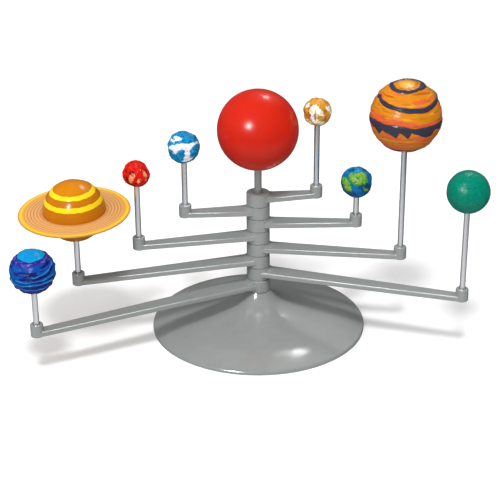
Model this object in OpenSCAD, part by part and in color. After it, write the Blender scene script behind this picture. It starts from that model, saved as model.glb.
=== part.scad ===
// Desk orrery: a Sun on a fixed centre post, with one swinging arm for each of eight planets.
// Millimetres. +Z is up. The origin is on the post's axis, at the table.
// The planets are numbered outwards from the Sun, 0 for Mercury to 7 for Neptune,
// and their arms are stacked in that order from the top of the post down.

/* [Base] */
// Outside diameter of the round base
base_d = 135.8; // [126:0.2:150]
// Height of the rim, where the shoulder would meet the table's edge
rim_h = 1.8; // [1.6:0.1:2.4]
// Rounding of the rim's upper edge
rim_round = 1.4; // [0.8:0.1:1.4]
// Width of the shoulder inside the rim
shoulder_w = 16; // [10:1:20]
// How much the shoulder falls away below the dish's slope
shoulder_drop = 2.2; // [1:0.1:3]
// Share of that fall that is straight; the rest steepens towards the rim
shoulder_straight = 0.4; // [0:0.1:1]
// Rise of the dish for each millimetre towards the neck
dish_slope = 0.21; // [0.15:0.01:0.25]
// Height of the neck that the lowest arm turns on
neck_h = 24.7; // [23:0.1:28]
// Diameter of the top of the neck
neck_d = 15.6; // [15:0.2:17]
// Distance over which the flare below the neck dies away
flare_w = 5.5; // [4:0.5:7]
// Thickness of the dish
wall = 2.0; // [1.6:0.1:2.4]
// Diameter of the boss under the neck that holds the post
boss_d = 12; // [10:0.5:13]

/* [Centre post] */
// Diameter of the post
post_d = 4.6; // [4.2:0.1:4.8]
// Height of the post's lower end above the table
post_foot = 3; // [2:0.5:5]
// Gap between the post and each hub, on the radius
turn_gap = 0.06; // [0.03:0.01:0.1]

/* [Arm hubs] */
// Height from one hub to the next
hub_pitch = 8.4; // [8.4:0.1:8.8]
// Gap between neighbouring hubs
hub_gap = 0.1; // [0.05:0.05:0.2]
// Diameter of the hubs
hub_d = 14.6; // [14:0.1:15.4]
// Diameter of the lowest hub
low_hub_d = 15.6; // [15:0.1:16]
// Rounding of the hubs' outer edges
hub_round = 0.6; // [0.2:0.1:0.6]
// Diameter of the dished mouth at the top of each bore
mouth_d = 7; // [6:0.5:9]
// Depth of the dished mouth
mouth_h = 0.8; // [0.5:0.1:1.2]

/* [Arms] */
// Drop from a hub's top to its arm's top face
arm_drop = 2.3; // [2.1:0.1:2.6]
// Thickness of the arms
arm_t = 3.1; // [2.6:0.1:3.2]
// Width of an arm at its hub
root_w = 13.2; // [12:0.2:13.6]
// Width of an arm at its socket
tip_w = 7.6; // [6:0.2:7.6]
// Rounding of the arms' upper edges
edge_r = 1.1; // [0.4:0.1:1.2]
// Rounding of the arms' lower edges
under_r = 0.3; // [0.1:0.1:0.4]
// How far the fillet between an arm's top face and its hub runs out along the arm
fillet_run = 3.2; // [2:0.1:4]
// How far that fillet climbs the hub
fillet_rise = 1.7; // [1:0.1:1.9]

/* [Sockets] */
// Diameter of the sockets at the arms' ends
socket_d = 7.8; // [7.6:0.1:8.2]
// Height of the sockets
socket_h = 8.2; // [7.8:0.1:8.2]
// Height of a socket's top above its own hub's top
socket_rise = 2.5; // [2.3:0.1:2.5]
// Rounding of the sockets' upper edge
socket_round = 1.0; // [0.5:0.1:1.4]
// Rounding of the sockets' lower edge
socket_under = 0.5; // [0.3:0.1:0.8]
// Diameter of the countersink round the rod
sink_d = 4.8; // [4.2:0.1:5.2]
// Depth of the countersink
sink_h = 0.6; // [0.3:0.1:0.8]

/* [Rods] */
// Diameter of the steel rods
rod_d = 3.5; // [3:0.1:3.6]
// Depth of a rod in its socket
rod_seat = 6.5; // [5:0.5:7]
// Chamfer on the ends of the rods and the post
rod_chamfer = 0.3; // [0.2:0.1:0.5]
// Share of a ball's radius that its rod goes into
rod_bite = 0.7; // [0.5:0.05:0.8]
// Gap round a rod or the post where it is held, on the radius
fit_gap = 0.02; // [0.01:0.01:0.04]

/* [Reach of each arm, from the post to the rod] */
// Mercury's arm
mercury_reach = 36.7; // [36.2:0.1:37.2]
// Venus's arm
venus_reach = 45.5; // [45:0.1:46]
// Earth's arm
earth_reach = 61.0; // [60.8:0.1:61.2]
// Mars's arm
mars_reach = 75.5; // [75.3:0.1:75.9]
// Jupiter's arm
jupiter_reach = 89.2; // [88.8:0.1:90]
// Saturn's arm
saturn_reach = 114.7; // [114:0.1:115.2]
// Uranus's arm
uranus_reach = 130.2; // [129.6:0.1:130.8]
// Neptune's arm
neptune_reach = 148.1; // [147.6:0.1:150]

/* [Bearing of each arm at rest, degrees from +X towards +Y] */
// Mercury's arm
mercury_bearing = 8.4; // [4:0.2:12]
// Venus's arm
venus_bearing = 186.4; // [182:0.2:190]
// Earth's arm
earth_bearing = -1.4; // [-5:0.2:3]
// Mars's arm
mars_bearing = 192.2; // [188:0.2:196]
// Jupiter's arm
jupiter_bearing = -8.8; // [-12:0.2:-5]
// Saturn's arm
saturn_bearing = 195.6; // [192:0.2:199]
// Uranus's arm
uranus_bearing = -17.4; // [-20:0.2:-14]
// Neptune's arm
neptune_bearing = 206.6; // [203:0.2:210]

/* [Rod height, from the socket's top to the ball's centre] */
// Mercury's rod
mercury_rise = 47.8; // [46:0.1:50]
// Venus's rod
venus_rise = 37.7; // [36:0.1:38.5]
// Earth's rod
earth_rise = 21.2; // [20:0.1:21.4]
// Mars's rod
mars_rise = 41.6; // [41.4:0.1:42.5]
// Jupiter's rod
jupiter_rise = 85.2; // [84:0.1:88]
// Saturn's rod
saturn_rise = 41.0; // [40.6:0.1:41.6]
// Uranus's rod
uranus_rise = 63.6; // [63.2:0.1:66]
// Neptune's rod
neptune_rise = 34.7; // [33:0.1:34.9]

/* [Ball diameters] */
// The Sun
sun_d = 50; // [46:1:52]
// Mercury
mercury_d = 17.4; // [16:0.2:18]
// Venus
venus_d = 20; // [19:0.2:20.4]
// Earth
earth_d = 20; // [19:0.2:20.2]
// Mars
mars_d = 16.8; // [16:0.2:16.8]
// Jupiter
jupiter_d = 43; // [41:0.2:43.4]
// Saturn
saturn_d = 37.8; // [37:0.2:38.2]
// Uranus
uranus_d = 26; // [24:0.2:26.4]
// Neptune
neptune_d = 26.4; // [24:0.2:26.4]

/* [Sun and Saturn's ring] */
// Height of the Sun's centre above the table
sun_z = 132.8; // [130:0.2:136]
// Outside diameter of Saturn's ring
ring_d = 67.4; // [64:0.2:67.6]
// Thickness of Saturn's ring
ring_t = 1.0; // [0.6:0.1:1.2]
// Depth of the groove in Saturn that holds the ring
ring_seat = 0.7; // [0.4:0.1:1]
// How far the ring sits below Saturn's middle
ring_drop = 0.6; // [0:0.1:1]
// How far the ring leans from level, in degrees
ring_lean = 3.8; // [0:0.1:4]
// The side it leans down to, in degrees on from its arm's own bearing
lean_bearing = 52; // [0:1:90]

/* [Hidden] */
$fn = 96;

MERCURY = 0;
VENUS = 1;
EARTH = 2;
MARS = 3;
JUPITER = 4;
SATURN = 5;
URANUS = 6;
NEPTUNE = 7;

REACH = [
  mercury_reach, venus_reach, earth_reach, mars_reach,
  jupiter_reach, saturn_reach, uranus_reach, neptune_reach
];
BEARING = [
  mercury_bearing, venus_bearing, earth_bearing, mars_bearing,
  jupiter_bearing, saturn_bearing, uranus_bearing, neptune_bearing
];
RISE = [
  mercury_rise, venus_rise, earth_rise, mars_rise,
  jupiter_rise, saturn_rise, uranus_rise, neptune_rise
];
BALL_R = [
  mercury_d, venus_d, earth_d, mars_d,
  jupiter_d, saturn_d, uranus_d, neptune_d
] / 2;

rim_r = base_d / 2;
neck_r = neck_d / 2;
boss_r = boss_d / 2;
post_r = post_d / 2;
rod_r = rod_d / 2;
socket_r = socket_d / 2;
sun_r = sun_d / 2;
ring_inner_r = saturn_d / 2 - ring_seat;

// The flare makes up the height that the rim, shoulder and slope leave to the neck.
flare_h = neck_h - rim_h - shoulder_drop - dish_slope * (rim_r - neck_r);
// The hollow under the dish stops here, below the solid neck.
hollow_h = 14;
// Number of steps along the skin, and how they crowd towards the neck.
skin_steps = 60;
skin_crowding = 1.6;
// Number of steps round a quarter turn.
corner_steps = 6;
// A sliver, for cuts that pass right through and parts that stop just short of each other.
eps = 0.01;

plastic = "#8f9693";
steel = "#c9ccd0";

// How far out along the shoulder radius r is, from 0 at its inner edge to 1 at the rim.
function shoulder_share(r) = max(0, 1 - (rim_r - r) / shoulder_w);

// Height of the base's outer skin at radius r.
// The shoulder starts with a slight crease.
function skin(r) =
  let (share = shoulder_share(r))
  rim_h
  + dish_slope * (rim_r - r)
  + flare_h * exp((neck_r - r) / flare_w)
  + shoulder_drop * (1 - shoulder_straight * share - (1 - shoulder_straight) * pow(share, 2));

// Steepness of the skin's flare and slope at radius r.
function steepness(r) = dish_slope + flare_h / flare_w * exp((neck_r - r) / flare_w);

// Height of the hollow's roof at radius r, one wall thickness in from the skin.
function roof(r) = min(hollow_h, skin(r) - wall * sqrt(1 + pow(steepness(r), 2)));

// Radii from one to another, closer together near the first.
function radii(from, to) = [
  for (i = [0 : skin_steps]) from + (to - from) * pow(i / skin_steps, skin_crowding)
];

function hub_r(planet) = (planet == NEPTUNE ? low_hub_d : hub_d) / 2;
function hub_top(planet) = neck_h + (NEPTUNE - planet + 1) * hub_pitch;
function socket_top(planet) = hub_top(planet) + socket_rise;
function ball_z(planet) = socket_top(planet) + RISE[planet];

// Puts its children at a planet's rod, with +X along the arm away from the post.
module at_rod(planet, z) {
  rotate([0, 0, BEARING[planet]])
    translate([REACH[planet], 0, z])
      children();
}

// A turned post with both ends chamfered by c.
module chamfered_post(r, h, c) {
  rotate_extrude()
    polygon([[0, 0], [r - c, 0], [r, c], [r, h - c], [r - c, h], [0, h]]);
}

// Corner points of a quarter turn of radius r about [x, y], starting at angle a.
function quarter(x, y, r, a) = [
  for (i = [0 : corner_steps])
    [x + r * cos(a + 90 * i / corner_steps), y + r * sin(a + 90 * i / corner_steps)]
];

// A round post with its edges rounded by under at the bottom and by over at the top.
module rounded_post(r, h, under, over) {
  rotate_extrude()
    polygon(concat(
      [[0, 0]],
      quarter(r - under, under, under, 270),
      quarter(r - over, h - over, over, 0),
      [[0, h]]
    ));
}

// Cross-section of an arm of width w, its top face at y = 0 and its body below.
module arm_section(w) {
  polygon(concat(
    quarter(w / 2 - edge_r, -edge_r, edge_r, 0),
    quarter(-w / 2 + edge_r, -edge_r, edge_r, 90),
    quarter(-w / 2 + under_r, under_r - arm_t, under_r, 180),
    quarter(w / 2 - under_r, under_r - arm_t, under_r, 270)
  ));
}

// A thin slice of an arm, standing across it at distance x from the post.
module arm_slice(x, w) {
  translate([x, 0, 0])
    rotate([90, 0, 90])
      linear_extrude(eps)
        arm_section(w);
}

// The fillet between an arm's top face and a hub of radius r, z = 0 on the top face.
module root_fillet(r) {
  inside = r - edge_r;
  reach = r + fillet_run;
  intersection() {
    rotate_extrude()
      polygon(concat(
        [[inside, -edge_r], [reach, -edge_r]],
        [
          for (i = [0 : corner_steps])
            let (a = 90 * i / corner_steps)
            [r + fillet_run * (1 - sin(a)), fillet_rise * (1 - cos(a))]
        ],
        [[inside, fillet_rise]]
      ));
    translate([0, edge_r - root_w / 2, -edge_r])
      cube([reach, root_w - 2 * edge_r, edge_r + fillet_rise]);
  }
}

// One moulding: hub, tapered arm and socket, with the hub's top at z = 0.
module arm_moulding(reach, r) {
  hub_h = hub_pitch - hub_gap;
  difference() {
    union() {
      translate([0, 0, -hub_h])
        rounded_post(r, hub_h, hub_round, hub_round);
      translate([0, 0, -arm_drop]) {
        hull() {
          arm_slice(0, root_w);
          arm_slice(reach, tip_w);
        }
        root_fillet(r);
      }
      translate([reach, 0, socket_rise - socket_h])
        rounded_post(socket_r, socket_h, socket_under, socket_round);
    }
    translate([0, 0, -hub_h - eps])
      cylinder(r = post_r + turn_gap, h = hub_h + 2 * eps);
    translate([0, 0, -mouth_h])
      cylinder(r1 = post_r + turn_gap, r2 = mouth_d / 2, h = mouth_h + eps);
    translate([reach, 0, socket_rise - rod_seat])
      cylinder(r = rod_r + fit_gap, h = rod_seat + eps);
    translate([reach, 0, socket_rise - sink_h])
      cylinder(r1 = rod_r + fit_gap, r2 = sink_d / 2, h = sink_h + eps);
  }
}

module planet_arm(planet) {
  color(plastic)
    rotate([0, 0, BEARING[planet]])
      translate([0, 0, hub_top(planet)])
        arm_moulding(REACH[planet], hub_r(planet));
}

// How far a rod's upper end is below its ball's centre.
function rod_end(planet) = BALL_R[planet] * (1 - rod_bite);

module planet_rod(planet) {
  color(steel)
    at_rod(planet, socket_top(planet) - rod_seat + eps)
      chamfered_post(rod_r, rod_seat + RISE[planet] - rod_end(planet) - 2 * eps, rod_chamfer);
}

// A ball with a blind hole of radius hole_r up from below, to depth_z under its centre.
module bored_ball(r, hole_r, depth_z) {
  difference() {
    sphere(r);
    translate([0, 0, -r - eps])
      cylinder(r = hole_r, h = r - depth_z + eps);
  }
}

module planet_ball(planet, tint) {
  color(tint)
    at_rod(planet, ball_z(planet))
      bored_ball(BALL_R[planet], rod_r + fit_gap, rod_end(planet));
}

module base() {
  // The rim's rounding starts where the skin ends.
  round_r = rim_r - rim_round;
  outside = [for (r = radii(neck_r, round_r)) [r, skin(r)]];
  inside = [for (r = radii(boss_r, rim_r - wall)) [r, roof(r)]];
  rim_arc = quarter(round_r, skin(round_r) - rim_round, rim_round, 0);
  color(plastic)
    difference() {
      rotate_extrude($fn = 180)
        polygon(concat(
          [[0, 0], [0, neck_h]],
          outside,
          [for (i = [corner_steps - 1 : -1 : 0]) rim_arc[i]],
          [[rim_r, 0], [rim_r - wall, 0]],
          [for (i = [len(inside) - 1 : -1 : 0]) inside[i]],
          [[boss_r, 0]]
        ));
      translate([0, 0, post_foot])
        cylinder(r = post_r + fit_gap, h = neck_h);
    }
}

// The post runs from the base's boss, up through every hub, and into the Sun.
module centre_post() {
  sun_bite = sun_z - sun_r * (1 - rod_bite);
  color(plastic)
    translate([0, 0, post_foot + eps])
      chamfered_post(post_r, sun_bite - post_foot - 2 * eps, rod_chamfer);
}

module sun_ball() {
  color("#d9261c")
    translate([0, 0, sun_z])
      bored_ball(sun_r, post_r + fit_gap, sun_r * (1 - rod_bite));
}

module mercury_arm() planet_arm(MERCURY);
module mercury_rod() planet_rod(MERCURY);
module mercury_ball() planet_ball(MERCURY, "#e0a23c");

module venus_arm() planet_arm(VENUS);
module venus_rod() planet_rod(VENUS);
module venus_ball() planet_ball(VENUS, "#3f9bd6");

module earth_arm() planet_arm(EARTH);
module earth_rod() planet_rod(EARTH);
module earth_ball() planet_ball(EARTH, "#2f86c9");

module mars_arm() planet_arm(MARS);
module mars_rod() planet_rod(MARS);
module mars_ball() planet_ball(MARS, "#d8352a");

module jupiter_arm() planet_arm(JUPITER);
module jupiter_rod() planet_rod(JUPITER);
module jupiter_ball() planet_ball(JUPITER, "#e5832d");

module saturn_arm() planet_arm(SATURN);
module saturn_rod() planet_rod(SATURN);

// Puts its children at the middle of Saturn's ring, leaning as it does.
module at_ring() {
  at_rod(SATURN, ball_z(SATURN) - ring_drop)
    rotate([0, 0, lean_bearing])
      rotate([0, ring_lean, 0])
        children();
}

// Saturn has a groove round its middle that the ring's inner edge sits in.
module saturn_ball() {
  groove_r = ring_inner_r - fit_gap;
  difference() {
    planet_ball(SATURN, "#d8861f");
    at_ring()
      rotate_extrude()
        translate([groove_r, -ring_t / 2 - fit_gap])
          square([2 * ring_seat, ring_t + 2 * fit_gap]);
  }
}

module saturn_ring() {
  color("#e2ab5c")
    at_ring()
      rotate_extrude($fn = 128)
        translate([ring_inner_r, -ring_t / 2])
          square([ring_d / 2 - ring_inner_r, ring_t]);
}

module uranus_arm() planet_arm(URANUS);
module uranus_rod() planet_rod(URANUS);
module uranus_ball() planet_ball(URANUS, "#1f8f68");

module neptune_arm() planet_arm(NEPTUNE);
module neptune_rod() planet_rod(NEPTUNE);
module neptune_ball() planet_ball(NEPTUNE, "#2456b8");

base();
centre_post();
sun_ball();
mercury_arm();
mercury_rod();
mercury_ball();
venus_arm();
venus_rod();
venus_ball();
earth_arm();
earth_rod();
earth_ball();
mars_arm();
mars_rod();
mars_ball();
jupiter_arm();
jupiter_rod();
jupiter_ball();
saturn_arm();
saturn_rod();
saturn_ball();
saturn_ring();
uranus_arm();
uranus_rod();
uranus_ball();
neptune_arm();
neptune_rod();
neptune_ball();
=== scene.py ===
"""Looks of a desk orrery: painted planets on bright steel rods, over a moulded grey stand."""
import math

import bmesh
import bpy
import numpy as np
from mathutils import Matrix, Vector


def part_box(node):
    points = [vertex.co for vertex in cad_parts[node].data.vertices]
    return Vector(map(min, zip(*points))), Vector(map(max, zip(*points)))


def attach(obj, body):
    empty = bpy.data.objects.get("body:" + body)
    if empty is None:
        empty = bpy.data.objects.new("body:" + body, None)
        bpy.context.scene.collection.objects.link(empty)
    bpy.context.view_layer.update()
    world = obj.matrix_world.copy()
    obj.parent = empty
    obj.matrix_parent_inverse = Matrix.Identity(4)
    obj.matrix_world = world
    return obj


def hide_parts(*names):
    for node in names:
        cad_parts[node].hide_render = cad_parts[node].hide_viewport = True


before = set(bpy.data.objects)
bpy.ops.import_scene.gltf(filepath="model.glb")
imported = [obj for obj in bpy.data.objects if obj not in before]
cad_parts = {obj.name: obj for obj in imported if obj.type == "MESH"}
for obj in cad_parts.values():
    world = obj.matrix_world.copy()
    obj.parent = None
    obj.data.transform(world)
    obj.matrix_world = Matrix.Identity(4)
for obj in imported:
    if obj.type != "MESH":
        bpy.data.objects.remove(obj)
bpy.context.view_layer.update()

MM = 0.001

# Camera: where it stands, its angles in degrees, and its lens and sensor in millimetres
CAMERA_PLACE = (-3.3 * MM, -816.6 * MM, 437.2 * MM)
CAMERA_PITCH = 25.16
CAMERA_YAW = 0.04
CAMERA_ROLL = -0.3
CAMERA_LENS = 102.8
CAMERA_SENSOR = 36
CAMERA_SHIFT = (-0.0042, -0.0048)

# Lights: name, place and size in millimetres, and watts. One lights everything, and the others only
# show as highlights in glossy surfaces.
LIGHTS_AIM = (0, 0, 80 * MM)
MAIN_LIGHT = ("front", (-130, -1650, 2950), 600, 56.0)
HIGHLIGHTS = (
    ("key", (-250, -470, 420), 120, 4.2),
    ("back", (246, 614, 956), 210, 2.4),
)

# One more highlight, which is kept off the painted pieces and the base: a wide light overhead, for the
# bright lines along the arms' edges. It also shows in the rods and the post.
EDGE_LIGHT = ("edges", (0, -120, 1000), 700, 15.0)

# Sky as it lights things: SKY_SOFT on the side that soft light comes from and SKY_DIM on the other side,
# and the cosines of the angles from the soft side between which it changes
SOFT_WAY = (-0.54, -0.58, 0.61)
SOFT_EDGE = (-0.4, 1)
SKY_DIM = 0.16
SKY_SOFT = 1.12

# Sky in glossy surfaces: dark, with a soft bright panel high behind the stand. The cosines are those of
# the angles from the panel's middle at which it starts and is full.
PANEL_WAY = (0.236, 0.589, 0.773)
PANEL_EDGE = (0.84, 0.97)
SKY_DARK = 0.14
SKY_BRIGHT = 0.7

# Floor: paper so bright to the camera that it is pure white outside the shadows. Further out it fades
# into a glow, between two distances from the stand's middle.
FLOOR_SIZE = 12
FLOOR_CORNERS = 64
FLOOR_WHITE = 1.08
FLOOR_GLOW = 1.05
FLOOR_FADE = (260 * MM, 520 * MM)

# It throws less light back than the camera sees, and glossy surfaces show it bright only in front,
# as y goes past FLOOR_TURN, and near, as the distance from the middle goes past FLOOR_REACH.
FLOOR_SOFT = 0.5
FLOOR_FRONT = 0.8
FLOOR_BACK = 0.08
FLOOR_TURN = (20 * MM, -130 * MM)
FLOOR_REACH = (500 * MM, 160 * MM)

# Balls: the fineness of their meshes, and the dent round each one's rod in millimetres
FINE = 7
MEDIUM = 6
ROD_R = 1.75
DENT_W = 1.6
DENT_DEPTH = 0.5

# Flats and pits pressed into the balls: the shallowest flat as a share of the deepest, how far its side
# may turn from its middle as a cosine, and how flat a pit's floor is, with 1 for a plain dip
SHALLOW_FLAT = 0.3
FLAT_SIDE = 0.1
PIT_FLATNESS = 1.2

# Painted areas: the size in degrees of the waves along the edges of bands and of other areas, the least
# share that a latitude's circle is taken to shrink to near a pole, and a length past any real one
BAND_WAVES = 12
EDGE_WAVES = 14
POLE_SHARE = 0.2
FAR = 360.0
TINY = 1e-9

# Noise: the spread of its waves' lengths, the height that brings it to about 1, and how far one seed's
# part of a shader's noise is from the next one's
WAVE_LENGTHS = (0.7, 1.5)
WAVE_PEAK = 1.6
SEED_STEP = (3.1, 7.7, 5.3)

# A mix node's sockets by number, because those for numbers and for colours have the same names
MIX_COVER = 0
MIX_NUMBERS = (2, 3)
MIX_NUMBER_OUT = 0
MIX_COLOURS = (6, 7)
MIX_COLOUR_OUT = 2


# ---------------------------------------------------------------- number helpers

def ease(x):
    """Goes smoothly from 0 to 1 as x goes from 0 to 1."""
    x = np.clip(x, 0, 1)
    return x * x * (3 - 2 * x)


def rounded(x):
    """Rises from 0 to 1 like a quarter of a circle, as x goes from 0 to 1."""
    x = np.clip(x, 0, 1)
    return np.sqrt(1 - (1 - x) ** 2)


def greatest(*fields):
    """The greatest of some fields at each point, which joins painted areas into one."""
    return np.max(fields, axis=0)


def direction_of(lon, lat):
    """The unit vector towards a longitude and latitude. Longitude 0 faces -Y and grows towards +X."""
    turn, rise = math.radians(lon), math.radians(lat)
    return np.array((math.sin(turn) * math.cos(rise), -math.cos(turn) * math.cos(rise), math.sin(rise)))


def turned_near(lon, middle):
    """The same longitudes, each less than half a turn from `middle`."""
    return middle + (lon - middle + 180) % 360 - 180


def random_directions(generator, count):
    """Unit vectors that point every way."""
    vectors = generator.normal(size=(count, 3))
    return vectors / np.linalg.norm(vectors, axis=1)[:, None]


def waves(points, size, seed, count=28):
    """Smooth noise of about -1 to 1, made of plane waves that are each about `size` long."""
    generator = np.random.default_rng(seed)
    directions = random_directions(generator, count)
    lengths = size * generator.uniform(*WAVE_LENGTHS, count)
    phases = generator.uniform(0, math.tau, count)
    angles = points @ (directions / lengths[:, None]).T * math.tau + phases
    return np.sin(angles).sum(1) * math.sqrt(2 / count) / WAVE_PEAK


def soften(outline, rounds=2):
    """Cuts the corners of a closed outline again and again, so that it turns into a curve."""
    points = np.array(outline, float)
    for _ in range(rounds):
        ahead = np.roll(points, -1, axis=0)
        cuts = [0.75 * points + 0.25 * ahead, 0.25 * points + 0.75 * ahead]
        points = np.stack(cuts, 1).reshape(-1, 2)
    return points


def colour(name):
    """The shader's value for a colour written as #rrggbb."""
    shares = [int(name[i:i + 2], 16) / 255 for i in (1, 3, 5)]
    return [s / 12.92 if s <= 0.04045 else ((s + 0.055) / 1.055) ** 2.4 for s in shares] + [1]


def grey(level):
    """The shader's value for a plain grey."""
    return (level, level, level, 1)


# ---------------------------------------------------------------- materials

class Nodes:
    """The node tree of a material or a sky, with short ways to add to it."""

    def __init__(self, tree):
        self.nodes = tree.nodes
        self.links = tree.links

    def feed(self, value, socket):
        """Links a socket to another, or sets it to a number or a colour."""
        if isinstance(value, bpy.types.NodeSocket):
            self.links.new(value, socket)
        else:
            socket.default_value = colour(value) if isinstance(value, str) else value

    def maths(self, operation, *values):
        """The result of a sum on numbers or sockets."""
        node = self.nodes.new("ShaderNodeMath")
        node.operation = operation
        for value, socket in zip(values, node.inputs):
            self.feed(value, socket)
        return node.outputs[0]

    def vector_maths(self, operation, vector, second=None):
        """A vector maths node, fed with a socket and, if it takes one, a plain vector."""
        node = self.nodes.new("ShaderNodeVectorMath")
        node.operation = operation
        self.feed(vector, node.inputs[0])
        if second is not None:
            self.feed(second, node.inputs[1])
        return node.outputs

    def share(self, value, low, high):
        """0 where the value is `low`, 1 where it is `high`, and smooth between them."""
        node = self.nodes.new("ShaderNodeMapRange")
        node.interpolation_type = "SMOOTHSTEP"
        self.feed(value, node.inputs["Value"])
        node.inputs["From Min"].default_value = low
        node.inputs["From Max"].default_value = high
        return node.outputs["Result"]

    def mix(self, first, second, cover):
        """Two colours mixed, all of the second where cover is 1."""
        node = self.nodes.new("ShaderNodeMix")
        node.data_type = "RGBA"
        for value, number in zip((cover, first, second), (MIX_COVER, *MIX_COLOURS)):
            self.feed(value, node.inputs[number])
        return node.outputs[MIX_COLOUR_OUT]

    def blend(self, first, second, cover):
        """A number between two others, all of the second where cover is 1."""
        node = self.nodes.new("ShaderNodeMix")
        for value, number in zip((cover, first, second), (MIX_COVER, *MIX_NUMBERS)):
            self.feed(value, node.inputs[number])
        return node.outputs[MIX_NUMBER_OUT]


class Paint(Nodes):
    """A node material that is built up coat by coat."""

    def __init__(self, name, roughness=0.3, metallic=0.0, specular=0.5):
        self.material = bpy.data.materials.new(name)
        self.material.use_nodes = True
        super().__init__(self.material.node_tree)
        self.shader = self.nodes["Principled BSDF"]
        self.shader.inputs["Roughness"].default_value = roughness
        self.shader.inputs["Metallic"].default_value = metallic
        self.shader.inputs["Specular IOR Level"].default_value = specular
        self.place = self.nodes.new("ShaderNodeTexCoord").outputs["Object"]
        self.normal = None
        self.surface = None

    def noise(self, size, stretch=(1, 1, 1), turn=(0, 0, 0), detail=3, seed=0, warp=0.0):
        """Noise of 0 to 1 in lumps `size` millimetres across, stretched along the object's axes."""
        mapping = self.nodes.new("ShaderNodeMapping")
        mapping.inputs["Location"].default_value = [seed * step for step in SEED_STEP]
        mapping.inputs["Rotation"].default_value = [math.radians(a) for a in turn]
        mapping.inputs["Scale"].default_value = [1 / (size * MM * s) for s in stretch]
        self.links.new(self.place, mapping.inputs["Vector"])
        node = self.nodes.new("ShaderNodeTexNoise")
        node.inputs["Scale"].default_value = 1
        node.inputs["Detail"].default_value = detail
        node.inputs["Distortion"].default_value = warp
        self.links.new(mapping.outputs["Vector"], node.inputs["Vector"])
        return node.outputs["Fac"]

    def field(self, name):
        """A value that is kept with the mesh under this name, at each point."""
        node = self.nodes.new("ShaderNodeAttribute")
        node.attribute_name = name
        return node.outputs["Fac"]

    def from_axis(self):
        """How far a point is from the object's own upright axis, in metres."""
        flat = self.vector_maths("MULTIPLY", self.place, (1, 1, 0))["Vector"]
        return self.vector_maths("LENGTH", flat)["Value"]

    def coat(self, tint, cover=1.0):
        """Paints a colour over what is there already."""
        self.surface = tint if self.surface is None else self.mix(self.surface, tint, cover)

    def patch(self, tint, pattern, low, high, strength=1.0):
        """Paints a colour where a pattern is at `high` and none where it is at `low`. The cover is
        `strength` at most."""
        self.coat(tint, self.maths("MULTIPLY", self.share(pattern, low, high), strength))

    def ragged(self, name, size, amount, seed=0):
        """A painted area's field with its edge made ragged, by up to `amount` degrees."""
        lumps = self.maths("MULTIPLY_ADD", self.noise(size, seed=seed), 2 * amount, -amount)
        return self.maths("ADD", self.field(name), lumps)

    def painted_shade(self, tint, shallow, deep, strength=0.6):
        """Painted shade: a darker colour in the hollows, where the relief sinks from `shallow` to `deep`
        millimetres.
        """
        self.patch(tint, self.field("relief"), shallow, deep, strength)

    def bump(self, height, depth):
        """Fine relief, `depth` millimetres from its lowest to its highest."""
        node = self.nodes.new("ShaderNodeBump")
        node.inputs["Distance"].default_value = depth * MM
        self.feed(height, node.inputs["Height"])
        if self.normal is not None:
            self.links.new(self.normal, node.inputs["Normal"])
        self.normal = node.outputs["Normal"]

    def gloss(self, low, high, size, seed=0):
        """Roughness that wanders from `low` to `high`."""
        wander = self.maths("MULTIPLY_ADD", self.noise(size, seed=seed), high - low, low)
        self.links.new(wander, self.shader.inputs["Roughness"])

    def done(self):
        """The material, with its coats and its relief joined to the shader."""
        self.feed(self.surface, self.shader.inputs["Base Color"])
        if self.normal is not None:
            self.links.new(self.normal, self.shader.inputs["Normal"])
        return self.material


def moulded_plastic():
    """Glossy grey moulding, with the slight ripple and orange peel of a moulded skin."""
    paint = Paint("grey_plastic", specular=0.9)
    paint.coat(paint.mix("#8c908e", "#959998", paint.noise(9, detail=4)))
    paint.patch("#888e8c", paint.noise(2, detail=2, seed=3), 0.55, 0.7, 0.3)
    paint.gloss(0.14, 0.22, 5, seed=1)
    paint.bump(paint.noise(14, detail=1, seed=2), 0.05)
    paint.bump(paint.noise(0.5, detail=2, seed=5), 0.002)
    return paint.done()


def drawn_steel():
    """Bright steel wire with faint lines along its length."""
    paint = Paint("drawn_steel", metallic=1.0)
    lines = paint.noise(0.35, stretch=(1, 1, 60), detail=3)
    paint.coat(paint.mix("#c9cdd2", "#e6e8ea", lines))
    paint.gloss(0.24, 0.36, 2, seed=1)
    paint.bump(lines, 0.01)
    return paint.done()


# ---------------------------------------------------------------- balls

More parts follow.
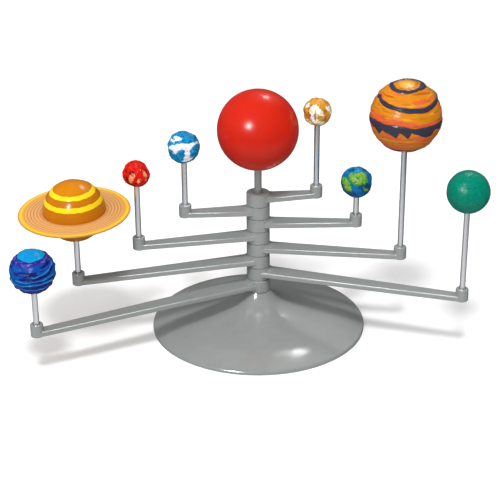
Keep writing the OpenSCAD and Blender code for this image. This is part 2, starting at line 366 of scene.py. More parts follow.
class Ball:
    """A painted ball round its CAD ball. Its fields are values at each point of its mesh, and a painted
    area's field is in degrees inside the area's edge."""

    def __init__(self, planet, fineness):
        low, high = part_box(planet + "_ball")
        self.planet = planet
        self.radius = max(high.x - low.x, high.y - low.y) / 2 / MM
        self.centre = Vector(((low.x + high.x) / 2, (low.y + high.y) / 2, high.z - self.radius * MM))
        shape = bmesh.new()
        bmesh.ops.create_icosphere(shape, subdivisions=fineness, radius=1)
        self.mesh = bpy.data.meshes.new(planet)
        shape.to_mesh(self.mesh)
        shape.free()
        points = np.zeros(len(self.mesh.vertices) * 3)
        self.mesh.vertices.foreach_get("co", points)
        points = points.reshape(-1, 3)
        self.points = points / np.linalg.norm(points, axis=1)[:, None]
        self.lon = np.degrees(np.arctan2(self.points[:, 0], -self.points[:, 1]))
        self.lat = self.latitude((0, 0, 1))
        self.relief = np.zeros(len(self.points))

    def latitude(self, axis):
        """Latitude of each point about an axis through the ball's middle."""
        return np.degrees(np.arcsin(np.clip(self.points @ np.array(axis), -1, 1)))

    def waves(self, size, seed, stretch=1.0):
        """Noise of -1 to 1 in lumps `size` degrees across, `stretch` times longer along the latitudes."""
        squeezed = self.points * (1, 1, stretch) / stretch if stretch > 1 else self.points
        return waves(squeezed, math.radians(size), seed)

    def keep(self, **fields):
        """Stores fields with the mesh under their names, for its material."""
        for name, field in fields.items():
            stored = self.mesh.attributes.new(name, "FLOAT", "POINT")
            stored.data.foreach_set("value", field.astype(np.float32))

    def edge(self, *corners):
        """The latitude, at each point's longitude, of a line through (longitude, latitude) corners."""
        lons, lats = zip(*corners)
        return np.interp(self.lon, lons, lats, period=360)

    def between(self, lower, upper, wobble=0.0, seed=0):
        """Degrees inside the band between two latitudes or lines."""
        lat = self.lat + wobble * self.waves(BAND_WAVES, seed)
        return np.minimum(lat - lower, upper - lat)

    def from_lines(self, x, y, starts, ends):
        """Degrees from each point to the nearest of some straight lines, all in (longitude, latitude)."""
        squeeze = np.cos(np.radians(self.lat))
        nearest = np.full(len(x), FAR)
        for (ax, ay), (bx, by) in zip(starts, ends):
            px, py = (x - ax) * squeeze, y - ay
            ex, ey = (bx - ax) * squeeze, by - ay
            along = np.clip((px * ex + py * ey) / (ex * ex + ey * ey + TINY), 0, 1)
            nearest = np.minimum(nearest, np.hypot(px - along * ex, py - along * ey))
        return nearest

    def inside(self, *corners, wobble=1.5, seed=0):
        """Degrees inside a closed outline of (longitude, latitude) corners, with its corners rounded."""
        outline = soften(corners)
        ahead = np.roll(outline, -1, axis=0)
        squeeze = np.maximum(np.cos(np.radians(self.lat)), POLE_SHARE)
        x = self.lon + wobble * self.waves(EDGE_WAVES, seed) / squeeze
        x = turned_near(x, outline[:, 0].mean())
        y = self.lat + wobble * self.waves(EDGE_WAVES, seed + 1)
        is_in = np.zeros(len(x), bool)
        for (ax, ay), (bx, by) in zip(outline, ahead):
            if ay != by:
                crosses = (ay > y) != (by > y)
                is_in ^= crosses & (x < ax + (bx - ax) * (y - ay) / (by - ay))
        gap = self.from_lines(x, y, outline, ahead)
        return np.where(is_in, gap, -gap)

    def strip(self, width, *corners, wobble=0.8, seed=0):
        """Degrees inside a strip along a line of (longitude, latitude) corners, `width` degrees wide."""
        x = turned_near(self.lon, np.mean([lon for lon, lat in corners]))
        y = self.lat + wobble * self.waves(EDGE_WAVES, seed)
        return width / 2 - self.from_lines(x, y, corners, corners[1:])

    def spot(self, lon, lat, size):
        """Degrees inside a round spot, `size` degrees from its middle to its edge."""
        cosines = np.clip(self.points @ direction_of(lon, lat), -1, 1)
        return size - np.degrees(np.arccos(cosines))

    def raise_by(self, height, cover=1.0):
        """Adds relief of `height` millimetres where cover is 1."""
        self.relief += height * cover

    def crumple(self, depth, count, seed):
        """Presses `count` soft flats into the ball, up to `depth` millimetres deep."""
        generator = np.random.default_rng(seed)
        for direction in random_directions(generator, count):
            deep = depth * generator.uniform(SHALLOW_FLAT, 1.0)
            facing = self.points @ direction
            pressed = (self.radius - deep) / np.maximum(facing, FLAT_SIDE) - self.radius
            self.relief = np.minimum(self.relief, np.maximum(pressed, self.relief - deep))

    def pit(self, direction, size, depth):
        """One small round hole, `size` millimetres across."""
        distance = np.linalg.norm(self.points - direction, axis=1) * self.radius
        self.relief -= depth * ease(PIT_FLATNESS * (1 - distance / (size / 2)))

    def finish(self, material):
        """Shapes the mesh and puts it on its body in place of the CAD ball."""
        self.keep(relief=self.relief)
        from_axis = np.hypot(self.points[:, 0], self.points[:, 1]) * self.radius
        dent = DENT_DEPTH * ease(1 - (from_axis - ROD_R) / DENT_W) * (self.points[:, 2] < 0)
        shaped = self.points * (self.radius + self.relief - dent)[:, None] * MM
        self.mesh.vertices.foreach_set("co", shaped.ravel())
        self.mesh.polygons.foreach_set("use_smooth", np.ones(len(self.mesh.polygons), bool))
        self.mesh.materials.append(material)
        self.mesh.update()
        piece = bpy.data.objects.new(self.planet, self.mesh)
        bpy.context.scene.collection.objects.link(piece)
        piece.location = self.centre
        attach(piece, "stand" if self.planet == "sun" else self.planet)
        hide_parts(self.planet + "_ball")
        return piece


def sun():
    """Smooth glossy red enamel, a little scuffed low down."""
    ball = Ball("sun", FINE)
    ball.raise_by(0.03, ball.waves(60, seed=1))
    scuffs = ((38, -38, 1.6, 0.12), (46, -33, 1.2, 0.10), (31, -41, 1.0, 0.08), (-48, -30, 1.3, 0.06))
    for lon, lat, size, depth in scuffs:
        ball.pit(direction_of(lon, lat), size, depth)
    paint = Paint("sun_enamel", specular=0.22)
    paint.coat(paint.mix("#cc1f0e", "#d3260f", paint.noise(14)))
    paint.gloss(0.2, 0.28, 10, seed=2)
    paint.bump(paint.noise(9, detail=1, seed=4), 0.01)
    return ball.finish(paint.done())


def mercury():
    """Golden orange, with dabs of white."""
    ball = Ball("mercury", MEDIUM)
    white = ball.inside((-43, 36), (-21, 46), (0, 44), (6, 29), (22, 16), (24, 4), (12, 2), (-3, 11),
                        (-2, -10), (-9, -39), (-23, -31), (-30, -10), (-34, 14), seed=1)
    spots = ((-67, 36, 9), (-80, -25, 11), (-58, -32, 12), (-40, -35, 9), (5, -29, 8), (22, -40, 12),
             (57, 24, 10), (66, 10, 8), (120, 30, 16), (150, -20, 20), (190, 25, 18), (230, -10, 14),
             (95, -30, 14))
    for lon, lat, size in spots:
        white = greatest(white, ball.spot(lon, lat, size))
    white += 2 + 3 * ball.waves(14, seed=5)
    gold = ball.inside((-14, 30), (-8, 31), (-9, -28), (-15, -26), wobble=1, seed=8)
    white = np.minimum(white, -gold)
    ball.keep(white=white)

    ball.crumple(0.6, 40, seed=21)
    ball.raise_by(0.22, ease(white / 4))
    ball.raise_by(0.1, ball.waves(18, seed=3))
    ball.raise_by(0.1, ball.waves(8, seed=9))

    paint = Paint("mercury_paint")
    paint.coat(paint.mix("#d5861a", "#e6a33a", paint.noise(4, warp=0.6)))
    paint.patch("#b9701c", paint.noise(2.6, seed=2, warp=1), 0.52, 0.68, 0.8)
    ragged = paint.ragged("white", 1.3, 7, seed=6)
    paint.patch(paint.mix("#b59a2a", "#d9a92c", paint.noise(1.5, seed=5)), ragged, -9, -3)
    cream = paint.mix("#fffaf0", "#ecd48a", paint.share(paint.noise(1.8, seed=4), 0.5, 0.68))
    paint.patch(cream, ragged, -1.5, 1.5)
    # Painted shade in the hollows of the crumpled relief.
    paint.painted_shade("#7c4c12", -0.1, -0.6)
    paint.gloss(0.2, 0.36, 3, seed=3)
    paint.bump(paint.noise(0.9, detail=3, seed=7), 0.12)
    return ball.finish(paint.done())


def venus():
    """Bright blue, with swept patches of white and pale pink."""
    ball = Ball("venus", MEDIUM)
    swirl = ball.inside((-69, 5), (-49, 19), (-23, 27), (4, 33), (25, 29), (46, 31), (81, 25), (95, 11),
                        (64, 26), (33, 18), (25, -1), (27, -27), (19, -40), (0, -33), (9, -13), (10, 9),
                        (-5, 15), (-14, 9), (-31, -6), (-42, -9), (-34, 9), seed=2)
    top = ball.inside((-63, 50), (-36, 46), (-10, 44), (-4, 52), (-20, 58), (-45, 59), seed=3)
    behind = ball.inside((120, 40), (160, 46), (205, 30), (250, 34), (230, 8), (190, 2), (200, -25),
                         (170, -40), (150, -10), (125, 5), seed=4)
    foot = ball.inside((-12, -38), (10, -44), (40, -38), (52, -26), (38, -22), (24, -30), (6, -36), seed=14)
    curl = ball.inside((-72, 38), (-52, 40), (-30, 42), (-34, 36), (-58, 33), seed=15)
    white = greatest(swirl, top, behind, foot, curl) + 0.5
    ball.keep(white=white)

    ball.crumple(0.9, 44, seed=12)
    ball.raise_by(0.35, ease(white / 4))
    ball.raise_by(0.1, ball.waves(20, seed=5))
    ball.raise_by(0.12, ball.waves(8, seed=10))

    paint = Paint("venus_paint", specular=0.16)
    paint.coat(paint.mix("#0579b2", "#1795c8", paint.noise(3, warp=0.5)))
    paint.patch("#085182", paint.noise(2.2, seed=3, warp=1), 0.52, 0.66, 0.85)
    paint.patch("#3db4e0", paint.noise(1.6, seed=8), 0.6, 0.72, 0.8)
    ragged = paint.ragged("white", 1.3, 7, seed=9)
    paint.patch("#4fb8e6", ragged, -3.5, -1)
    pale = paint.mix("#fbfaff", "#e6a9c8", paint.share(paint.noise(1.6, seed=6), 0.56, 0.74))
    paint.patch(pale, ragged, -1.2, 1.2)
    # Painted shade in the hollows of the relief.
    paint.painted_shade("#063f6c", -0.5, -1.1)
    paint.gloss(0.18, 0.32, 3, seed=2)
    paint.bump(paint.noise(0.9, detail=3, seed=4), 0.12)
    return ball.finish(paint.done())


def earth():
    """Blue sea, with raised land in greens."""
    ball = Ball("earth", MEDIUM)
    land = greatest(
        ball.inside((-49, 44), (-14, 54), (25, 60), (46, 49), (43, 34), (36, 14), (24, 7), (9, 15),
                    (-6, 9), (-18, 17), (-36, 31), seed=1),
        ball.inside((-75, 26), (-51, 28), (-31, 15), (-23, -2), (-31, -25), (-51, -23), (-66, -5),
                    (-75, 7), seed=2),
        ball.inside((21, 8), (28, -6), (44, -10), (62, -23), (35, -21), (22, -8), seed=3),
        ball.inside((105, 50), (140, 58), (165, 30), (150, 5), (160, -25), (135, -40), (122, -10),
                    (112, 20), seed=4),
        ball.inside((185, 20), (225, 40), (255, 15), (235, -12), (205, -5), seed=5),
    )
    ball.keep(land=land + 3, height=ball.lat)

    ball.crumple(0.8, 42, seed=4)
    ball.raise_by(0.4, ease(land / 5))
    ball.raise_by(0.08, ball.waves(16, seed=6))
    ball.raise_by(0.1, ball.waves(7, seed=9))
    ball.raise_by(-0.2)

    paint = Paint("earth_paint", specular=0.14)
    paint.coat(paint.mix("#04569c", "#0f7cc2", paint.noise(2.5, stretch=(1, 1, 2), warp=0.6)))
    # Painted light: the sea is a lighter blue towards the top, where light falls from above.
    paint.patch("#1c92cc", paint.field("height"), 35, 62)
    paint.patch("#06437e", paint.noise(1.8, seed=3, warp=1), 0.54, 0.68, 0.8)
    shore = paint.mix("#127a6a", "#1f8a50", paint.noise(1.6, seed=2))
    ragged = paint.ragged("land", 1.1, 6, seed=4)
    paint.patch(shore, ragged, -3.0, -0.5)
    green = paint.mix("#2f8f34", "#7ab83e", paint.share(paint.noise(1.6, seed=5, warp=0.8), 0.35, 0.62))
    paint.patch(green, ragged, -0.5, 2.5)
    paint.patch("#9aa552", ragged, 5, 10, paint.share(paint.noise(2, seed=6), 0.45, 0.62))
    # Painted shade in the hollows of the relief.
    paint.painted_shade("#05325a", -0.4, -0.95, 0.8)
    paint.gloss(0.2, 0.36, 3, seed=2)
    paint.bump(paint.noise(0.8, detail=3, seed=7), 0.14)
    return ball.finish(paint.done())


def mars():
    """Crumpled glossy red, with peach streaks."""
    ball = Ball("mars", MEDIUM)
    peach = greatest(
        ball.inside((-25, 8), (-13, 24), (-3, 19), (-3, 7), (-10, -10), (-15, -26), (-27, -16),
                    (-29, -3), seed=1),
        ball.inside((12, -7), (21, 2), (21, -11), (15, -26), (9, -18), seed=2),
        ball.inside((39, 36), (50, 21), (54, 0), (52, -20), (46, -2), (39, 14), seed=3),
        ball.inside((130, 30), (150, 5), (140, -20), (126, 0), seed=4),
        ball.inside((200, 20), (222, 28), (215, -5), (198, -15), seed=5),
    )
    ball.keep(peach=peach + 2.5)

    ball.crumple(0.9, 46, seed=31)
    ball.raise_by(0.16, ball.waves(20, seed=4))
    ball.raise_by(0.16, ball.waves(8, seed=8))
    ball.raise_by(0.12, ease(peach / 4))
    ball.raise_by(-0.05)

    paint = Paint("mars_paint", specular=0.1)
    paint.coat(paint.mix("#cf1208", "#e42512", paint.noise(3, warp=0.8)))
    paint.patch("#860b08", paint.noise(2, seed=3, warp=1.5), 0.54, 0.68, 0.8)
    dabs = paint.mix("#f0824a", "#f9bb8c", paint.noise(1.2, seed=5))
    strokes = paint.noise(1.1, stretch=(1, 1, 2.5), turn=(0, 30, 0), seed=9)
    paint.patch(dabs, paint.ragged("peach", 1.2, 5, seed=6), -1, 2, paint.share(strokes, 0.36, 0.48))
    # Painted shade in the creases of the crumpled relief.
    paint.painted_shade("#4d0605", -0.45, -1.0, 0.85)
    paint.gloss(0.12, 0.24, 2, seed=2)
    paint.bump(paint.noise(1.1, detail=3, seed=7), 0.22)
    return ball.finish(paint.done())


def jupiter():
    """Orange, with streaks of red-orange, and raised dark strips: a ring, a spiral and a jagged band."""
    ball = Ball("jupiter", FINE)
    outer = ball.edge((-82, 62), (-35, 57), (-4, 56), (34, 61), (92, 60), (180, 61))
    inner = ball.edge((-70, 67), (-33, 62), (-4, 62), (33, 65), (75, 69), (180, 68))
    ring = ball.between(outer, inner, wobble=0.4, seed=1)

    # The spiral starts on the left, sinks across the front, and climbs again round the back. Longitudes
    # more than 30 degrees short of its start are counted on to its far end.
    start, stop = -84, 215
    turned = np.where(ball.lon < start - 30, ball.lon + 360, ball.lon)
    line = np.interp(turned, (start, -75, -55, -30, -5, 17, 28, 45, 65, 92, 150, stop),
                     (38.5, 40.0, 34, 30.5, 28, 27, 26.5, 29.5, 34, 36.5, 42, 48))
    half = np.interp(turned, (start, -70, -30, 0, 20, 45, 65, 92, 150, stop),
                     (2.2, 2.6, 2.5, 3.2, 3.5, 3.6, 2.8, 2.6, 2.2, 0.5))
    beyond = np.maximum(start - turned, turned - stop).clip(0) * np.cos(np.radians(ball.lat))
    spiral = half - np.hypot(beyond, ball.lat - line + 0.5 * ball.waves(14, seed=2))

    # The jagged band is worked out for the front, and the back is its mirror image.
    folded = np.where(np.abs(ball.lon) > 90, np.sign(ball.lon) * 180 - ball.lon, ball.lon)
    upper = np.interp(folded, (-85, -62, -41, -18, 9, 30, 54, 79), (1, 4, 2, 3, -1, -1, 0, 1))
    lower = np.interp(folded, (-78, -62, -53, -46, -33, -21, -15, -1, 4, 13, 29, 42, 49, 67, 78),
                      (-8, -9, -17, -8, -12, -18, -7, -17, -7, -11, -18, -16, -7, -11, -7))
    teeth = ball.between(lower, upper, wobble=0.6, seed=4)
    # A thin raised dark strip low down, partly a dark strip and partly painted shade along the ball's
    # underside.
    low_strip = ball.between(-53.2, -50.8, wobble=1.2, seed=6)
    dark = greatest(ring, spiral, teeth, low_strip) + 0.4
    reds = greatest(ball.between(upper + 0.5, upper + 8, wobble=1.5, seed=21),
                    ball.between(38, 43, wobble=2.0, seed=22))
    ball.keep(dark=dark, reds=reds, cap=ball.lat - inner, height=ball.lat)

    # The ball stands proud above the spiral, but less so over its last 40 degrees. The cap inside the
    # ring is sunk again.
    ball.raise_by(0.45, ease((ball.lat - line) / 1.5) * ease((stop - turned) / 40))
    ball.raise_by(-0.35, ease((ball.lat - inner) / 2))
    ball.raise_by(0.6, rounded(ring / 1.8 + 0.3))
    ball.raise_by(0.6, rounded(spiral / 2.2 + 0.3))
    ball.raise_by(0.35, ease(teeth / 1.5))
    ball.raise_by(0.25, ease(low_strip))
    ball.raise_by(0.16, ball.waves(7, seed=8, stretch=5) * (dark < 0))
    ball.raise_by(0.12, ball.waves(26, seed=9))

    paint = Paint("jupiter_paint", specular=0.18)
    paint.coat(paint.mix("#cf7710", "#e0921c", paint.noise(14, stretch=(1, 1, 0.2), detail=4, warp=0.3)))
    paint.patch("#f2ab28", paint.noise(16, stretch=(1, 1, 0.12), seed=3), 0.58, 0.74)
    paint.patch("#b75d0c", paint.noise(14, stretch=(1, 1, 0.07), detail=2, seed=13), 0.6, 0.68)

    # Three kinds of red streak, all of them below the cap
    streaks = paint.noise(18, stretch=(1, 1, 0.13), seed=6, warp=0.2)
    level = paint.maths("MULTIPLY", 0.7, paint.share(streaks, 0.56, 0.62))
    banded = paint.maths("ADD", paint.maths("MULTIPLY_ADD", streaks, 24, -11), paint.field("reds"))
    banded = paint.share(banded, 0, 2)
    slanted = paint.noise(12, stretch=(1, 1, 0.16), turn=(0, 34, 0), seed=7, warp=0.5)
    slanted = paint.maths("MULTIPLY", paint.share(slanted, 0.47, 0.55),
                          paint.share(paint.field("height"), -10, -18))
    streaked = paint.maths("MAXIMUM", paint.maths("MAXIMUM", level, banded), slanted)
    red = paint.mix("#dd5220", "#ea7146", paint.noise(3, seed=4))
    paint.patch(red, paint.field("cap"), 0, -2, streaked)

    # Painted highlight: a lighter golden yellow in the middle of the cap.
    paint.patch("#f4c14c", paint.field("cap"), 5, 14, 0.6)
    slate = paint.mix("#2a2733", "#4b4458", paint.noise(2.4, stretch=(1, 1, 0.4), seed=8))
    slate = paint.mix(slate, "#1f4250", paint.share(paint.noise(5, seed=9), 0.55, 0.7))
    # Painted shade: dark brown along the edges of the raised dark strips.
    paint.patch("#5a2f14", paint.field("dark"), -1.4, -0.2, 0.7)
    paint.patch(slate, paint.field("dark"), -0.35, 0.25)
    paint.gloss(0.16, 0.3, 3, seed=2)
    paint.bump(paint.noise(2.5, stretch=(1, 1, 0.2), detail=3, seed=11), 0.15)
    return ball.finish(paint.done())


def ring_axis():
    """The direction square to Saturn's ring, upwards. The ring leans a little on its ball."""
    points = np.array([v.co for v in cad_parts["saturn_ring"].data.vertices])
    axis = np.linalg.svd(points - points.mean(0), full_matrices=False)[2][2]
    return axis * np.sign(axis[2])


def saturn():
    """Glossy orange-brown, with two yellow bands that lean as the ring does."""
    ball = Ball("saturn", FINE)
    ball.lat = ball.latitude(ring_axis())
    bands = greatest(ball.between(43, 52, wobble=0.5, seed=1), ball.between(21, 30, wobble=0.5, seed=2))
    ball.keep(bands=bands, height=ball.lat)
    ball.raise_by(0.12, ease(bands / 1.2))
    ball.raise_by(0.06, ball.waves(30, seed=3))
    paint = Paint("saturn_paint", specular=0.15)
    paint.coat(paint.mix("#b8690a", "#cb7e0e", paint.noise(9, stretch=(1, 1, 0.3))))
    amber = paint.mix("#ca7704", "#d8870a", paint.noise(9, seed=2))
    paint.patch(amber, paint.field("height"), 44, 60)
    yellow = paint.mix("#fbd408", "#ffe12a", paint.noise(4, seed=4))
    paint.patch(yellow, paint.field("bands"), -0.4, 0.3)
    paint.gloss(0.16, 0.26, 6, seed=2)
    paint.bump(paint.noise(3, stretch=(1, 1, 0.3), detail=2, seed=5), 0.03)
    return ball.finish(paint.done())


def ring_paint(inner_r, outer_r):
    """Card ringed in tan and yellow, between two radii in metres."""
    paint = Paint("ring_paint", specular=0.15)
    inwards = paint.maths("SUBTRACT", paint.from_axis(), inner_r)
    across = paint.maths("DIVIDE", inwards, outer_r - inner_r)
    speckle = paint.noise(0.7, detail=4)
    broad_rate, fine_rate = 23, 52
    broad = paint.share(paint.maths("SINE", paint.maths("MULTIPLY", across, broad_rate)), -0.5, 1)
    fine = paint.share(paint.maths("SINE", paint.maths("MULTIPLY", across, fine_rate)), -0.2, 1)
    tan = paint.mix("#d3924a", "#eabb7c", speckle)
    tan = paint.mix(tan, "#e8a869", paint.maths("MULTIPLY", broad, 0.6))
    tan = paint.mix(tan, "#ad7034", paint.maths("MULTIPLY", fine, 0.65))
    # Brown at the inner edge, next to the ball: partly the ring's own colour, partly painted shade and
    # painted reflection of the ball.
    paint.coat("#ad5f1f")
    paint.patch(tan, across, 0.0, 0.16)
    paint.patch("#e9a93a", across, 0.62, 0.82, 0.7)
    paint.patch("#fccb2c", across, 0.82, 0.86, paint.share(across, 0.94, 0.91))
    paint.patch("#c9923a", across, 0.94, 0.98)
    paint.gloss(0.4, 0.6, 3, seed=2)
    paint.bump(speckle, 0.03)
    return paint.done()


def saturn_ring():
    """A thin stiff disc with a rolled edge and fine grooves all round."""
    corners = np.array([v.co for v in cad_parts["saturn_ring"].data.vertices])
    middle = corners.mean(0)
    axis = ring_axis()
    heights = (corners - middle) @ axis
    from_axis = np.linalg.norm(corners - middle - np.outer(heights, axis), axis=1)
    half_t, inner_r, outer_r = heights.max(), from_axis.min(), from_axis.max()
    around, steps, corner = 288, 90, 8
    groove_pitch, groove_depth = 0.9 * MM, 0.05 * MM

    flat = [inner_r + (outer_r - half_t - inner_r) * i / steps for i in range(steps + 1)]
    sunk = [groove_depth * (1 - math.cos(math.tau * (r - inner_r) / groove_pitch)) for r in flat]
    top = [(r, half_t - s) for r, s in zip(flat, sunk)]
    edge = [(outer_r - half_t * (1 - math.sin(a)), half_t * math.cos(a))
            for a in (math.pi * i / corner for i in range(1, corner))]
    profile = top + edge + [(r, -z) for r, z in reversed(top)]

    angles = [math.tau * i / around for i in range(around)]
    points = [(r * math.cos(a), r * math.sin(a), z) for a in angles for r, z in profile]
    count = len(profile)
    faces = []
    for i in range(around):
        here, there = i * count, (i + 1) % around * count
        for j in range(count):
            k = (j + 1) % count
            faces.append((here + j, there + j, there + k, here + k))
    mesh = bpy.data.meshes.new("saturn_ring_disc")
    mesh.from_pydata(points, [], faces)
    mesh.polygons.foreach_set("use_smooth", [True] * len(faces))
    mesh.materials.append(ring_paint(inner_r, outer_r))

    piece = bpy.data.objects.new("saturn_ring_disc", mesh)
    bpy.context.scene.collection.objects.link(piece)
    piece.location = middle
    piece.rotation_euler = Vector((0, 0, 1)).rotation_difference(Vector(axis)).to_euler()
    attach(piece, "saturn")
    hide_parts("saturn_ring")
    return piece


def uranus():
    """Satin teal green over foam, with its small pits showing through."""
    ball = Ball("uranus", FINE)
    ball.raise_by(0.05, ball.waves(30, seed=1))
    generator = np.random.default_rng(17)
    pits = 450
    for direction in random_directions(generator, pits):
        ball.pit(direction, size=generator.uniform(0.8, 1.7), depth=generator.uniform(0.1, 0.28))
    ball.pit(direction_of(-9, 31), size=1.1, depth=0.6)
    paint = Paint("uranus_paint", specular=0.14)
    paint.coat(paint.mix("#007660", "#008a72", paint.noise(5, detail=4)))
    # Painted glints: light teal specks over the green.
    paint.patch("#3cc4a4", paint.noise(0.9, seed=3), 0.62, 0.7, 0.3)
    # Painted shade in the pits.
    paint.painted_shade("#04503d", -0.06, -0.25)
    paint.gloss(0.1, 0.18, 2, seed=2)
    paint.bump(paint.noise(0.9, detail=3, seed=4), 0.2)
    return ball.finish(paint.done())


def neptune():
    """Blue and violet ridges round a smooth bright blue cap."""
    ball = Ball("neptune", FINE)
    rim = ball.edge((-90, 52), (-40, 50), (0, 47), (40, 51), (90, 54), (180, 53))
    cap = ball.lat - rim - 0.8 * ball.waves(20, seed=1)
    below_violet = ball.edge((-90, 36), (-57, 37), (-36, 33), (-7, 31), (22, 37), (62, 42), (98, 38),
                             (180, 36))
    violet = ball.between(below_violet, rim - 4, wobble=1.5, seed=2)
    bars = greatest(
        ball.strip(5.5, (-14, 17), (4, 18), (19, 19), seed=3),
        ball.strip(4.5, (-12, 11), (0, 12), (21, 13), seed=4),
        ball.strip(5, (-24, 2), (0, 2), (25, 3), (50, 8), (67, 14), seed=5),
        ball.strip(4, (110, 15), (150, 8), (190, 14), (230, 10), seed=6),
    )
    crests = greatest(
        ball.strip(3, (8, 7), (35, 12), (60, 20), (85, 31), seed=7),
        ball.strip(3, (-40, -4), (-8, -5), (21, -3), (74, 4), seed=8),
        ball.strip(3, (-58, -6), (-43, -16), (-8, -15), (21, -12), (74, -12), seed=9),
        ball.strip(2.4, (-51, -22), (-18, -29), (22, -30), (58, -25), seed=10),
        ball.strip(3, (100, 26), (150, 22), (200, 26), (250, 20), seed=11),
        ball.strip(3, (110, -8), (160, -14), (210, -10), (250, -16), seed=12),
    )
    ridges = ball.waves(8, seed=13, stretch=4)
    ball.keep(cap=cap, violet=violet, bars=bars, crests=crests, ridges=ridges, height=ball.lat)

    below_cap = ease(-cap / 2)
    ball.raise_by(0.3, below_cap)
    ball.raise_by(0.28, ridges * below_cap)
    ball.raise_by(0.35, rounded(crests / 1.5))
    ball.raise_by(-0.25, ease(bars / 1.5))
    ball.raise_by(0.18, ball.waves(14, seed=14))

    paint = Paint("neptune_paint", specular=0.1)
    paint.coat(paint.mix("#093f98", "#0c5cb2", paint.noise(3, stretch=(1, 1, 0.4), warp=0.5)))
    indigo = paint.mix("#131f78", "#2a268c", paint.noise(2.6, stretch=(1, 1, 0.4), seed=3))
    # Painted shade: darker indigo towards the bottom, on the ball's underside.
    paint.patch(indigo, paint.field("height"), 0, -26)
    # Painted shade: indigo in the grooves between the ridges.
    paint.patch(indigo, paint.field("ridges"), -0.1, -0.6)
    plum = paint.mix("#2a2a98", "#7a5ab2",
                     paint.share(paint.noise(3, stretch=(1, 1, 0.35), seed=5), 0.5, 0.66))
    paint.patch(plum, paint.field("violet"), -1, 1)
    paint.patch("#19175f", paint.field("bars"), -0.6, 0.6)
    paint.patch("#1f9fd8", paint.field("crests"), -0.4, 0.8, 0.8)
    # Painted shade in the low parts of the relief.
    paint.painted_shade("#0e1658", 0.12, -0.3, 0.85)
    paint.patch("#101c70", paint.field("cap"), -3.2, -2.2)
    azure = paint.mix("#047cc0", "#0ca2da", paint.noise(5, seed=7))
    paint.patch(azure, paint.field("cap"), -0.5, 0.5)
    paint.gloss(0.16, 0.3, 3, seed=2)
    paint.bump(paint.noise(1.4, stretch=(1, 1, 0.35), detail=3, seed=9), 0.1)
    return ball.finish(paint.done())


# ---------------------------------------------------------------- stand, arms and rods

def dress_cad_parts():
    """Gives the moulded parts and the rods their materials."""
    plastic = moulded_plastic()
    steel = drawn_steel()
    for name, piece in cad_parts.items():
        if name.endswith("_rod"):
            chosen = steel
        elif name.endswith("_arm") or name in ("base", "centre_post"):
            chosen = plastic
        else:
            continue
        for slot in piece.material_slots:
            slot.material = chosen


# ---------------------------------------------------------------- studio

def lay_floor():
    """A round sheet that is lit near the stand and glows white further out."""
    shape = bmesh.new()
    bmesh.ops.create_circle(shape, cap_ends=True, segments=FLOOR_CORNERS, radius=FLOOR_SIZE / 2)
    mesh = bpy.data.meshes.new("floor")
    shape.to_mesh(mesh)
    shape.free()
    floor = bpy.data.objects.new("floor", mesh)
    bpy.context.scene.collection.objects.link(floor)

    paint = Paint("paper", roughness=1.0, specular=0.0)
    ray = paint.nodes.new("ShaderNodeLightPath")
    ways = paint.nodes.new("ShaderNodeSeparateXYZ")
    paint.links.new(paint.place, ways.inputs[0])
    in_front = paint.maths("MULTIPLY", paint.share(ways.outputs["Y"], *FLOOR_TURN),
                           paint.share(paint.from_axis(), *FLOOR_REACH))
    shine = paint.maths("MULTIPLY_ADD", in_front, FLOOR_FRONT - FLOOR_BACK, FLOOR_BACK)
    far = paint.maths("MULTIPLY", paint.share(paint.from_axis(), *FLOOR_FADE),
                      ray.outputs["Is Camera Ray"])
    paint.coat(grey(FLOOR_SOFT))
    paint.coat(shine, ray.outputs["Is Glossy Ray"])
    paint.coat(grey(FLOOR_WHITE), ray.outputs["Is Camera Ray"])
    paint.coat(grey(0), far)
    paint.shader.inputs["Emission Color"].default_value = grey(1)
    paint.feed(paint.maths("MULTIPLY", far, FLOOR_GLOW), paint.shader.inputs["Emission Strength"])
    mesh.materials.append(paint.done())


def add_light(name, place, size, watts):
    """A round soft light that faces the orrery."""
    data = bpy.data.lights.new(name, "AREA")
    data.shape = "DISK"
    data.size = size * MM
    data.energy = watts
    light = bpy.data.objects.new(name, data)
    bpy.context.scene.collection.objects.link(light)
    light.location = Vector(place) * MM
    light.rotation_euler = (Vector(LIGHTS_AIM) - light.location).to_track_quat("-Z", "Y").to_euler()
    return light


def keep_off(light, pieces):
    """Stops a light from shining on some pieces."""
    passed_over = bpy.data.collections.new("not lit by " + light.name)
    for piece in pieces:
        passed_over.objects.link(piece)
    light.light_linking.receiver_collection = passed_over
    for member in passed_over.collection_objects:
        member.light_linking.link_state = "EXCLUDE"


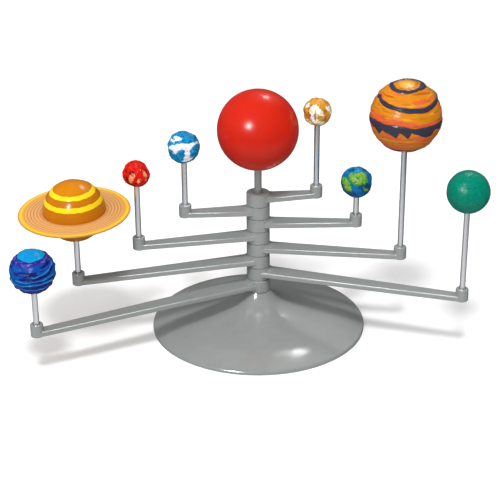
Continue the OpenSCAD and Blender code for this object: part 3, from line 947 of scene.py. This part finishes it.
def set_lights(painted):
    """All the lights. `painted` is the painted pieces, which the light for the arms' edges passes over."""
    add_light(*MAIN_LIGHT).visible_glossy = False
    for highlight in HIGHLIGHTS:
        add_light(*highlight).visible_diffuse = False
    edges = add_light(*EDGE_LIGHT)
    edges.visible_diffuse = False
    keep_off(edges, painted + [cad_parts["base"]])


def make_sky():
    """A soft sky that the camera sees as plain white."""
    world = bpy.data.worlds.new("studio")
    bpy.context.scene.world = world
    world.use_nodes = True
    sky = Nodes(world.node_tree)
    direction = sky.nodes.new("ShaderNodeTexCoord").outputs["Generated"]
    ray = sky.nodes.new("ShaderNodeLightPath")
    to_soft = sky.vector_maths("DOT_PRODUCT", direction, SOFT_WAY)["Value"]
    to_panel = sky.vector_maths("DOT_PRODUCT", direction, PANEL_WAY)["Value"]
    soft = sky.blend(SKY_DIM, SKY_SOFT, sky.share(to_soft, *SOFT_EDGE))
    shine = sky.blend(SKY_DARK, SKY_BRIGHT, sky.share(to_panel, *PANEL_EDGE))
    strength = sky.blend(soft, shine, ray.outputs["Is Glossy Ray"])
    background = sky.nodes["Background"]
    background.inputs["Color"].default_value = grey(1)
    sky.feed(sky.blend(strength, 1, ray.outputs["Is Camera Ray"]), background.inputs["Strength"])


def place_camera():
    """The camera, which shows colours as they are."""
    data = bpy.data.cameras.new("camera")
    camera = bpy.data.objects.new("camera", data)
    bpy.context.scene.collection.objects.link(camera)
    camera.location = CAMERA_PLACE
    turn = (Matrix.Rotation(math.radians(CAMERA_YAW), 3, "Z")
            @ Matrix.Rotation(math.radians(90 - CAMERA_PITCH), 3, "X")
            @ Matrix.Rotation(math.radians(CAMERA_ROLL), 3, "Z"))
    camera.rotation_euler = turn.to_euler()
    data.lens = CAMERA_LENS
    data.sensor_width = CAMERA_SENSOR
    data.shift_x, data.shift_y = CAMERA_SHIFT
    bpy.context.scene.camera = camera
    bpy.context.scene.view_settings.view_transform = "Standard"


dress_cad_parts()
planets = (mercury, venus, earth, mars, jupiter, saturn, saturn_ring, uranus, neptune)
painted_pieces = [make() for make in (sun, *planets)]
lay_floor()
set_lights(painted_pieces)
make_sky()
place_camera()
